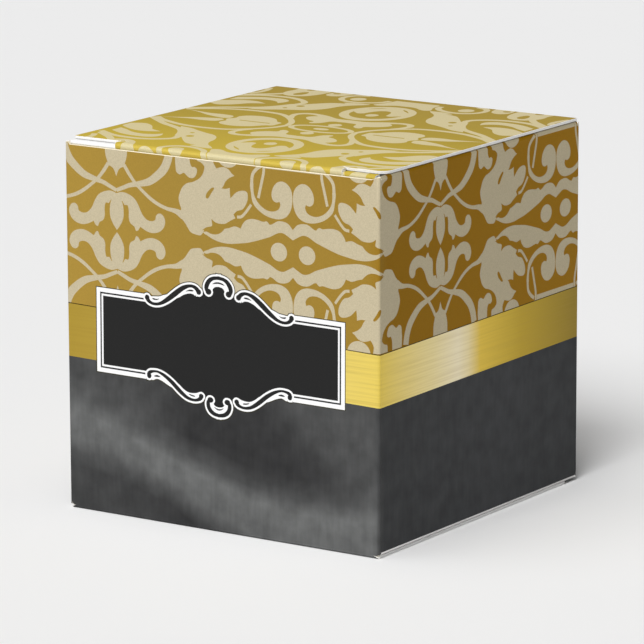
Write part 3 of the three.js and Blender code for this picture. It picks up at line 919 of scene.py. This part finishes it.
def satin_ink():
    """Black print of folded satin: a soft light falls across the front, and the right wall is mottled."""
    nodes = Nodes("satin", 0, 0.45, Specular_IOR_Level=0.08)
    place = around_box(nodes)
    level = nodes.sum(coordinates(nodes)["Z"], SATIN_TOP, "DIVIDE")
    streaks = nodes.noise(1.5, detail=3, stretch=(1, 1, 0.15))
    sway = nodes.sum(nodes.sum(nodes.noise(0.1, detail=2), 0.5, "SUBTRACT"), 0.12, "MULTIPLY")
    height = nodes.sum(level, sway)
    crest = nodes.ramp(place, *[(at, h / SATIN_TOP) for at, h in SATIN_CREST])
    below_crest = nodes.sum(nodes.sum(crest, height, "SUBTRACT"), 0.5)
    light = nodes.ramp(below_crest, (0.4, 0.0), (0.5, 0.35), (0.58, 1.0), (0.75, 0.8), (0.95, 0.55))
    trough = nodes.ramp(place, *[(at, h / SATIN_TOP) for at, h in SATIN_TROUGH])
    above_trough = nodes.sum(nodes.sum(height, trough, "SUBTRACT"), 0.5)
    shade = nodes.ramp(above_trough, (0.36, 0.0), (0.52, 1.0))
    front = nodes.ramp(place, (0.49, 1.0), (0.51, 0.0))
    band = nodes.sum(nodes.sum(light, shade, "MULTIPLY"), front, "MULTIPLY")
    upper_left = nodes.ramp(place, (0.0, 0.35), (0.12, 0.3), (0.2, 0.0))
    diagonal = nodes.sum(nodes.sum(place, 2.03, "MULTIPLY"), nodes.sum(level, 0.56, "MULTIPLY"))
    far_side = nodes.ramp(nodes.sum(diagonal, 0.3, "SUBTRACT"), (0.72, 0.0), (0.9, 0.4))
    rest = nodes.sum(nodes.sum(upper_left, far_side, "MAXIMUM"), front, "MULTIPLY")
    amount = nodes.sum(band, nodes.sum(rest, nodes.sum(1.0, light, "SUBTRACT"), "MULTIPLY"))
    base = nodes.ramp(place, (0.485, (0.036, 0.036, 0.037)), (0.515, (0.047, 0.049, 0.051)),
                      (0.8, (0.05, 0.052, 0.055)), (1, (0.04, 0.042, 0.044)))
    colour = nodes.mix(amount, base, (0.14, 0.143, 0.142))
    mottle = nodes.ramp(nodes.noise(0.35, detail=3), (0.3, 0.78), (0.7, 1.12))
    colour = nodes.mix(1.0, colour, mottle, "MULTIPLY")
    colour = nodes.mix(1.0, colour, nodes.ramp(streaks, (0.3, 0.93), (0.7, 1.07)), "MULTIPLY")
    nodes.colour(colour)
    return nodes.material


def board_stock(name, colour, roughness):
    """Uncoated board, faintly mottled by its fibres."""
    nodes = Nodes(name, 0, roughness, Specular_IOR_Level=0.2)
    fibres = nodes.noise(3, detail=4, stretch=(1, 1, 0.4))
    darker = tuple(c * 0.95 for c in colour)
    nodes.colour(nodes.ramp(fibres, (0.35, darker), (0.65, colour)))
    nodes.bump(fibres, 0.2, 0.03)
    return nodes.material


# Gold ground along around_box: lighter at the front's left end. Above a half, on the right and back walls, it is
# deeper and more amber: painted shade standing for metallic gold turned away from the light.
GOLD = [(0, (0.42, 0.268, 0.048)), (0.25, (0.362, 0.232, 0.043)), (0.48, (0.357, 0.217, 0.033)),
        (0.52, (0.32, 0.158, 0.004)), (1, (0.37, 0.183, 0.005))]
CREAM = (0.59, 0.51, 0.345)
# The lid's gold and cream along lid_depth. They are lighter than the walls' inks, partly as painted light from
# above. There is a painted highlight on the upright part of the front fold (0.0099) and painted shade over the
# middle of the fold (0.0118), damping its rendered glint. They are lighter towards the front edge.
LID_GOLD_WITH_FOLD_LIGHT = [(0.0099, (0.85, 0.66, 0.13)), (0.0118, (0.54, 0.4, 0.063)), (0.0187, (0.58, 0.43, 0.063)),
            (0.5, (0.44, 0.32, 0.057)), (1, (0.388, 0.273, 0.06))]
LID_CREAM_WITH_FOLD_LIGHT = [(0.0099, (0.85, 0.78, 0.5)), (0.0118, (0.65, 0.565, 0.315)), (0.0187, (0.7, 0.605, 0.338)),
             (1, (0.64, 0.55, 0.325))]
# Inks for the side walls' print over an upper dust flap's fold. They grow darker up the fold as painted shade,
# cancelling the extra light the upturned fold catches.
FOLD_GOLD_PAINTED_SHADE = [(0, (0.335, 0.166, 0.004)), (1, (0.17, 0.084, 0.002))]
FOLD_CREAM_PAINTED_SHADE = [(0, CREAM), (1, (0.3, 0.26, 0.175))]
INKS = {
    "ground": printed_ink("ground", GOLD),
    "motif": printed_ink("motif", CREAM, speckle=0.12),
    "lid_ground": printed_ink("lid_ground", LID_GOLD_WITH_FOLD_LIGHT, specular=0, place=lid_depth),
    "lid_motif": printed_ink("lid_motif", LID_CREAM_WITH_FOLD_LIGHT, speckle=0.1, specular=0, place=lid_depth),
    # fold_ground and fold_motif carry painted shade: they are darker up the dust flaps' folds.
    "fold_ground": printed_ink("fold_ground", FOLD_GOLD_PAINTED_SHADE, place=up_dust_fold),
    "fold_motif": printed_ink("fold_motif", FOLD_CREAM_PAINTED_SHADE, place=up_dust_fold),
    "band": band_ink(),
    "band_line": printed_ink("band_line", (0.05, 0.037, 0.01)),
    "satin": satin_ink(),
    "label_field": printed_ink("label_field", (0.024, 0.024, 0.024), specular=0.02),
    "label_white": printed_ink("label_white", (0.94, 0.94, 0.94), speckle=0.03, specular=0.02),
    "label_shadow": printed_ink("label_shadow", (0.045, 0.04, 0.02)),
    "bare_board": board_stock("bare_board", (0.9, 0.89, 0.88), 0.75),
    "raw_edge": board_stock("raw_edge", (0.97, 0.965, 0.95), 0.8),
    # A creamier raw edge, used on the front wall's free top edge.
    "cream_edge": board_stock("cream_edge", (0.97, 0.89, 0.7), 0.8),
    "adhesive": printed_ink("adhesive", (0.8, 0.77, 0.68), specular=0.5, roughness=0.35),
}


# Walls

# Half lengths along the creases of the walls
FREE_EDGE = FRONT_HIGH.z - MID
FRONT_DROP = 0.22
HORN_EDGE = LID_CREASE - 0.1 - MID
HORN_REACH = 0.7
FAR_HORN_REACH = 0.2
CORNER_END = 0.05
CORNER_RISE = 0.25
FOLDED_EDGE = MID - BOARD
NOTCH_EDGE = DUST_CREASE - MID


def plain_wall(node, wall, panel, start, length, flush_edge, free_edge, edge="raw_edge"):
    """Front or back wall, free at one end and folded at the other."""
    first = -panel.fold
    side = -1 if flush_edge > 0 else 1
    free, horn = side * free_edge, side * HORN_EDGE
    corners = [(first, flush_edge + side * CORNER_RISE, 0), (0, flush_edge, 0),
               (length, flush_edge, WALL_CORNER), (length, horn, 0), (length - FAR_HORN_REACH, horn, 0),
               (length - 2 * FAR_HORN_REACH, free, 0),
               (first + 2 * HORN_REACH, free, 0), (first + HORN_REACH, horn, 0), (first, horn, 0)]
    flush = [(0, first), (0, length), (1, flush_edge)]
    artwork = around_corner(start, wall, panel)
    add_panel(node, "walls", "wall_print", panel, rounded(*corners), artwork, flush, edge)


def side_wall(node, wall, panel, length, flush_ends):
    """Side wall, whose upper and lower edges carry the dust flaps' folds from corner to corner."""
    first = -panel.fold
    corners = both_sides([(length, NOTCH_EDGE, 0), (CORNER_END, NOTCH_EDGE, 0), (CORNER_END, HORN_EDGE, 0),
                          (first, HORN_EDGE, 0)])
    flush = [(0, s) for s in flush_ends] + [(1, NOTCH_EDGE), (1, -NOTCH_EDGE)]
    add_panel(node, "walls", "wall_print", panel, corners, around_corner(WIDTH - BOARD, wall, panel), flush)


def add_walls():
    reach = 2 * INNER
    front = Panel((INNER, -INNER, MID), -X_AXIS, -Y_AXIS)
    front_edge = FREE_EDGE - FRONT_DROP
    plain_wall("front_wall", FRONT, front, WIDTH - BOARD, reach, -FOLDED_EDGE, front_edge, "cream_edge")

    back = Panel((GLUE_CREASE_X, INNER, MID), X_AXIS, Y_AXIS, turn=0)
    back_start = HALF - GLUE_CREASE_X
    back_length = INNER - GLUE_CREASE_X
    plain_wall("back_wall", BACK, back, back_start, back_length, FOLDED_EDGE, FREE_EDGE)

    right = Panel((INNER, INNER, MID), -Y_AXIS, X_AXIS)
    side_wall("right_wall", RIGHT, right, reach, (-right.fold, reach))
    left = Panel((-INNER, -INNER, MID), Y_AXIS, -X_AXIS)
    side_wall("left_wall", LEFT, left, LEFT_HIGH.y + INNER, (-left.fold,))

    glue = Panel((GLUE_CREASE_X, INNER, MID), -Y_AXIS, -X_AXIS)
    crease_end = GLUE_HIGH.z - MID
    shape = both_sides([(GLUE_WIDTH, GLUE_END, GLUE_CORNER), (GLUE_STEP, GLUE_HALF, 0),
                        (GLUE_STEP / 2, crease_end, 0), (-glue.fold, crease_end, 0)])
    artwork = []
    for name, drawn in wall_print(BACK):
        s = drawn[:, 0] - back_start - glue.fold
        artwork.append((name, np.column_stack([s, MID - drawn[:, 1]]), -glue.fold, GLUE_BLEED))
    artwork.append(bare_beyond(GLUE_BLEED, MID))
    add_panel("glue_flap", "walls", "bare_board", glue, shape, artwork, [(0, -glue.fold)])
    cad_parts["glue_line"].data.materials.clear()
    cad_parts["glue_line"].data.materials.append(INKS["adhesive"])


# Closures

def lid_shape(fold):
    length = INNER - TUCK_CREASE_Y
    cut_back = length - FOLD_GAP - SLIT_DEPTH
    hook_tip = cut_back - HOOK_DEPTH

    def side(slit, corner_radius):
        return [(length, slit, 0), (cut_back + SLIT_WIDTH, slit, HOOK_RADIUS),
                (hook_tip, slit - HOOK_REACH, 0), (hook_tip, slit - HOOK_REACH + HOOK_WIDTH, 0),
                (cut_back, slit, HOOK_RADIUS), (cut_back, LID_HALF_WIDTH, corner_radius),
                (-fold, LID_HALF_WIDTH, LID_HINGE_CORNER)]
    return both_sides(side(SLIT_START, LID_FRONT_CORNER), side(LEFT_SLIT_START, LID_LEFT_CORNER))


def tuck_shape(tuck):
    shoulder_end = SHOULDER_DROP - tuck.fold - SHOULDER_LENGTH
    step = SHOULDER_DROP + SHOULDER_STEP

    def side(slit, half_width):
        return [(TUCK_LENGTH, TUCK_HALF_WIDTH, TUCK_CORNER), (step + SHOULDER_STEP, TUCK_HALF_WIDTH, 0),
                (step, half_width, 0), (shoulder_end, half_width, 0),
                (shoulder_end, slit + SLIT_CUT, 0), (SHOULDER_DROP, slit + SLIT_CUT, 0),
                (SHOULDER_DROP, slit - SLIT_CUT, 0), (-tuck.root, slit - SLIT_CUT, 0)]
    return both_sides(side(SLIT_START, SHOULDER_HALF_WIDTH), side(LEFT_SLIT_START, LID_HALF_WIDTH))


def dust_shape(dust, tuck_side):
    t = tuck_side
    return rounded(
        (-dust.root, t * DUST_FOLD_HALF, 0), (DUST_FOLD_END, t * DUST_FOLD_HALF, 0),
        (2 * DUST_FOLD_END, t * DUST_TUCK_EDGE, 0), (DUST_LENGTH, t * DUST_TUCK_END, DUST_CORNER),
        (DUST_LENGTH, -t * DUST_HINGE_END, DUST_CORNER), (2 * DUST_FOLD_END, -t * DUST_HINGE_EDGE, 0),
        (DUST_FOLD_END, -t * DUST_FOLD_HALF, 0), (-dust.root, -t * DUST_FOLD_HALF, 0))


def add_closure(names, slot, flip, lid_artwork, tuck_artwork):
    """Lid, tuck flap and dust flaps. The bottom closure is the top one turned over by flip = -1."""
    panel, tuck, left_dust, right_dust = names

    def turned(x, y, z):
        return Vector((x, flip * y, MID + flip * (z - MID)))

    lid = Panel(turned(0, INNER, LID_CREASE), -Y_AXIS * flip, Z_AXIS * flip)
    length = INNER - TUCK_CREASE_Y
    add_panel(*panel, slot, lid, lid_shape(lid.fold), lid_artwork(lid), [(0, -lid.fold), (0, length)])

    into = Vector((0, math.sin(TUCK_LEAN) * flip, -math.cos(TUCK_LEAN) * flip))
    out = Vector((0, -math.cos(TUCK_LEAN) * flip, -math.sin(TUCK_LEAN) * flip))
    tuck_panel = Panel(turned(0, TUCK_CREASE_Y, LID_CREASE), into, out, QUARTER + TUCK_LEAN, SHOULDER_DROP,
                       (-SLIT_START, LEFT_SLIT_START), TUCK_HIDDEN)
    add_panel(*tuck, slot, tuck_panel, tuck_shape(tuck_panel), tuck_artwork(tuck_panel), [])

    for side, dust in ((-1, left_dust), (1, right_dust)):
        crease = turned(side * INNER, 0, DUST_CREASE)
        dust_panel = Panel(crease, -X_AXIS * side, Z_AXIS * flip, hidden=DUST_HIDDEN)
        artwork = dust_bleed(dust_panel, RIGHT if side > 0 else LEFT) if flip > 0 else []
        add_panel(*dust, "bare_board", dust_panel, dust_shape(dust_panel, -side), artwork, [])


def dust_bleed(dust, wall):
    """The side wall's print where it runs on over an upper dust flap's fold, in the fold inks, which are darkened
    up the fold as painted shade.
    """
    laid = []
    for name, shape in wall_print(wall):
        placed = np.column_stack([shape[:, 1] - DUST_CREASE - dust.fold, shape[:, 0] - HALF])
        if name in ("ground", "motif"):
            laid.append(("fold_" + name, placed, -dust.root, DUST_BLEED))
    return laid + [bare_beyond(DUST_BLEED, HALF)]


def lid_artwork(lid):
    def place(x, y):
        s = INNER - y
        return np.column_stack([np.where(s < 0, s * lid.fold / (2 * BOARD), s), -x])
    return lid_print(place)


def tuck_artwork(tuck):
    artwork = lid_print(lambda x, y: np.column_stack([TUCK_CREASE_Y - y - tuck.fold, -x]))
    bare = polygon((-WIDTH, LEFT_SLIT_START), (SHOULDER_DROP, LEFT_SLIT_START), (SHOULDER_DROP, HALF),
                   (-WIDTH, HALF))
    return artwork + [("bare_board", bare, -WIDTH, SHOULDER_DROP)]


def plain_satin(panel):
    """The bottom's print: satin all over, whichever panel it is."""
    return plain_print("satin")


def add_closures():
    top = [("lid_panel", "lid"), ("lid_tuck_flap", "lid_tuck"), ("top_left_dust_flap", "top_left_dust"),
           ("top_right_dust_flap", "top_right_dust")]
    add_closure(top, "lid_print", 1, lid_artwork, tuck_artwork)
    bottom = [("bottom_panel", "bottom"), ("bottom_tuck_flap", "bottom_tuck"),
              ("bottom_left_dust_flap", "bottom_left_dust"), ("bottom_right_dust_flap", "bottom_right_dust")]
    add_closure(bottom, "bottom_print", -1, plain_satin, plain_satin)


# Stage, light and camera

FLOOR_RADIUS = 3
FLOOR_COLOUR = 0.855


def add_floor():
    nodes = Nodes("floor", 0, 0.9)
    nodes.colour(nodes.ramp(nodes.noise(0.02), (0.4, FLOOR_COLOUR * 0.998), (0.6, FLOOR_COLOUR)))
    mesh = bpy.data.meshes.new("floor")
    shape = ellipse(0, 0, 1, 1)
    mesh.from_pydata([(x * FLOOR_RADIUS, y * FLOOR_RADIUS, 0) for x, y in shape], [], [range(len(shape))])
    mesh.materials.append(nodes.material)
    floor = bpy.data.objects.new("floor", mesh)
    bpy.context.scene.collection.objects.link(floor)


STUDIO_GREY = 0.06


def add_world():
    """A dim studio round the lamps."""
    world = bpy.data.worlds.new("studio")
    bpy.context.scene.world = world
    world.use_nodes = True
    background = world.node_tree.nodes["Background"]
    background.inputs["Color"].default_value = (STUDIO_GREY, STUDIO_GREY, STUDIO_GREY, 1)


def add_lamp(name, towards, strength, softness):
    """A far, soft lamp that stands in the direction given."""
    lamp = bpy.data.lights.new(name, "SUN")
    lamp.energy = strength
    lamp.angle = math.radians(softness)
    placed = bpy.data.objects.new(name, lamp)
    placed.rotation_mode = "QUATERNION"
    placed.rotation_quaternion = Vector(towards).to_track_quat("Z", "Y")
    bpy.context.scene.collection.objects.link(placed)


def add_light():
    add_world()
    add_lamp("key", (0.16, -0.67, 0.73), 2.2, 32)
    add_lamp("overhead", (-0.11, -0.31, 0.94), 1.48, 54)


CAMERA_AZIMUTH = math.radians(33.81)
CAMERA_ELEVATION = math.radians(12.33)
CAMERA_ROLL = math.radians(-0.21)
CAMERA_DISTANCE = 643.5 * MM
CAMERA_FOCAL = 4625.7
CAMERA_TARGET = (-0.5 * MM, 23.81 * MM)
PHOTO_WIDTH = 644
SENSOR = 36
VIEW_REACH = 10


def add_camera():
    a, e = CAMERA_AZIMUTH, CAMERA_ELEVATION
    back = Vector((math.sin(a) * math.cos(e), -math.cos(a) * math.cos(e), math.sin(e)))
    right = Vector((math.cos(a), math.sin(a), 0))
    up = back.cross(right)
    data = bpy.data.cameras.new("camera")
    data.sensor_width = SENSOR
    data.lens = CAMERA_FOCAL * SENSOR / PHOTO_WIDTH
    data.clip_end = VIEW_REACH
    camera = bpy.data.objects.new("camera", data)
    camera.rotation_mode = "QUATERNION"
    camera.rotation_quaternion = back.to_track_quat("Z", "Y") @ Quaternion(Z_AXIS, CAMERA_ROLL)
    camera.location = right * CAMERA_TARGET[0] + up * CAMERA_TARGET[1] + back * CAMERA_DISTANCE
    bpy.context.scene.collection.objects.link(camera)
    bpy.context.scene.camera = camera


add_walls()
add_closures()
add_floor()
add_light()
add_camera()
bpy.context.scene.view_settings.view_transform = "Standard"
